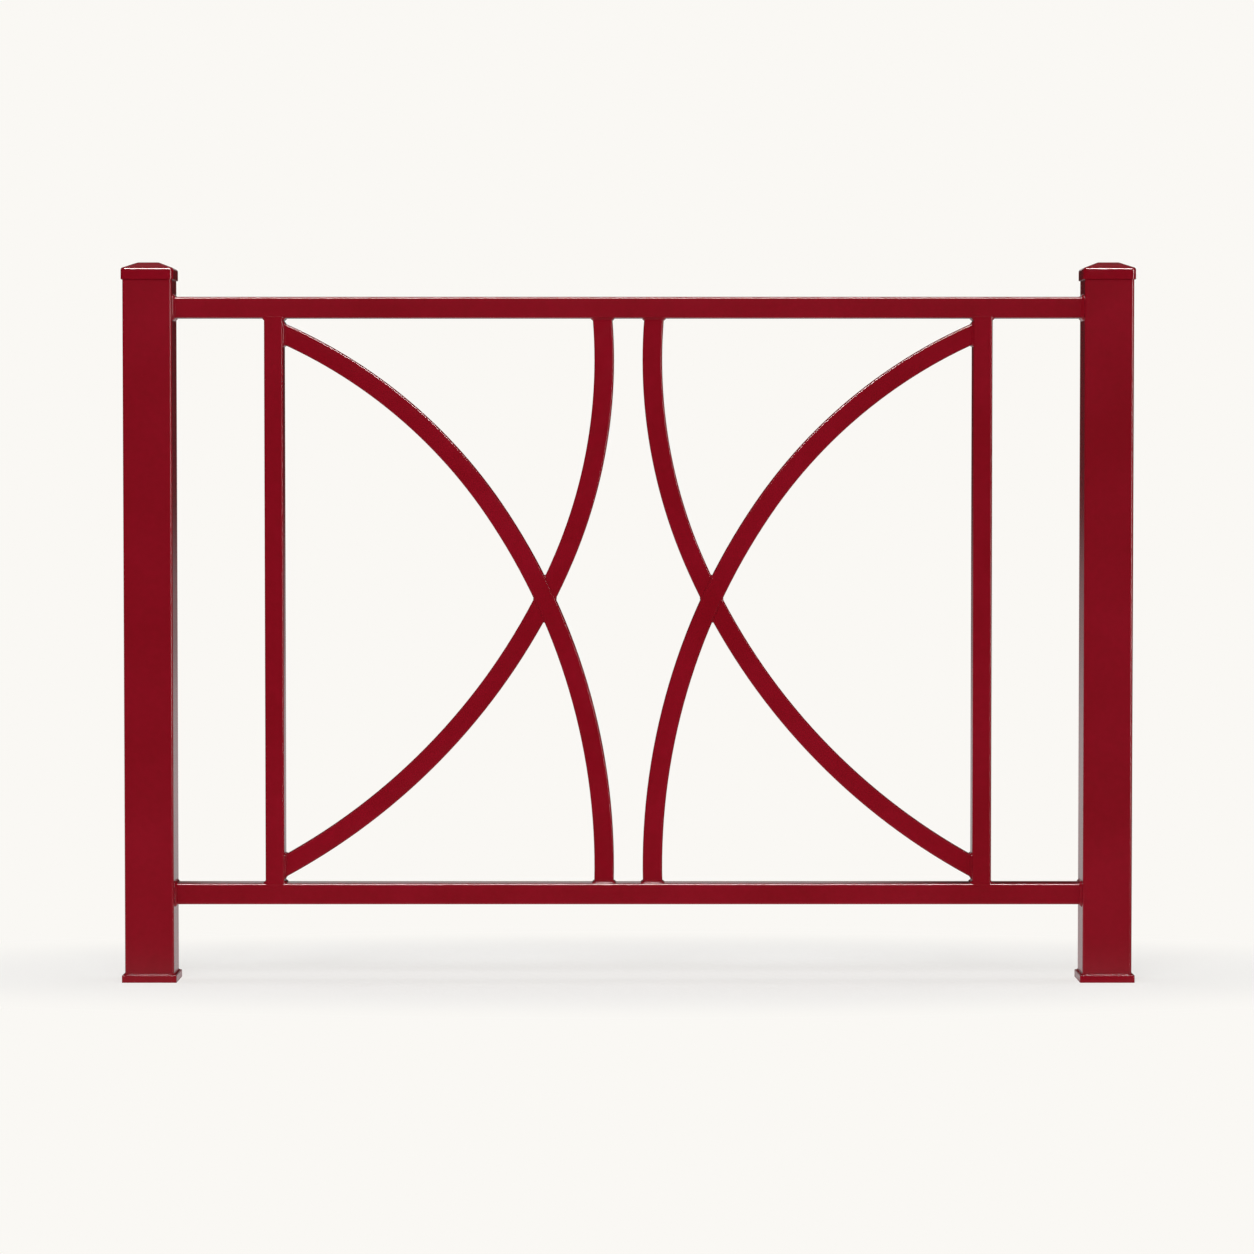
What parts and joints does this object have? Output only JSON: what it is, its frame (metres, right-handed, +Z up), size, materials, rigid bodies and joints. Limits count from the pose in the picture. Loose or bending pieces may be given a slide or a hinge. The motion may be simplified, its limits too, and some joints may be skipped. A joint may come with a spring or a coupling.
{
  "type": "street barrier",
  "caption": "Welded steel street barrier: square posts with shallow caps and small foot plates, and a railed panel of curved bars that cross.",
  "frame": {"origin": "middle of the left foot's underside, on the ground", "axes": "+X along the barrier from the left post to the right post, +Y through the panel away from the street side, +Z up"},
  "size_m": [1.443, 0.078, 1.025],
  "materials": {
    "powder_coat": "satin dark red powder coat"
  },
  "bodies": {
    "root": {"bottom_rail": "powder_coat", "left_base_plate": "powder_coat", "left_bottom_rail_weld": "powder_coat", "left_cap": "powder_coat", "left_foot_weld": "powder_coat", "left_long_bar": "powder_coat", "left_long_bar_bottom_weld": "powder_coat", "left_long_bar_top_weld": "powder_coat", "left_lower_bar": "powder_coat", "left_lower_bar_weld": "powder_coat", "left_lower_butt_weld": "powder_coat", "left_post": "powder_coat", "left_top_rail_weld": "powder_coat", "left_upper_bar": "powder_coat", "left_upper_bar_weld": "powder_coat", "left_upper_butt_weld": "powder_coat", "left_upright": "powder_coat", "left_upright_bottom_weld": "powder_coat", "left_upright_top_weld": "powder_coat", "right_base_plate": "powder_coat", "right_bottom_rail_weld": "powder_coat", "right_cap": "powder_coat", "right_foot_weld": "powder_coat", "right_long_bar": "powder_coat", "right_long_bar_bottom_weld": "powder_coat", "right_long_bar_top_weld": "powder_coat", "right_lower_bar": "powder_coat", "right_lower_bar_weld": "powder_coat", "right_lower_butt_weld": "powder_coat", "right_post": "powder_coat", "right_top_rail_weld": "powder_coat", "right_upper_bar": "powder_coat", "right_upper_bar_weld": "powder_coat", "right_upper_butt_weld": "powder_coat", "right_upright": "powder_coat", "right_upright_bottom_weld": "powder_coat", "right_upright_top_weld": "powder_coat", "top_rail": "powder_coat"}
  },
  "joints": []
}
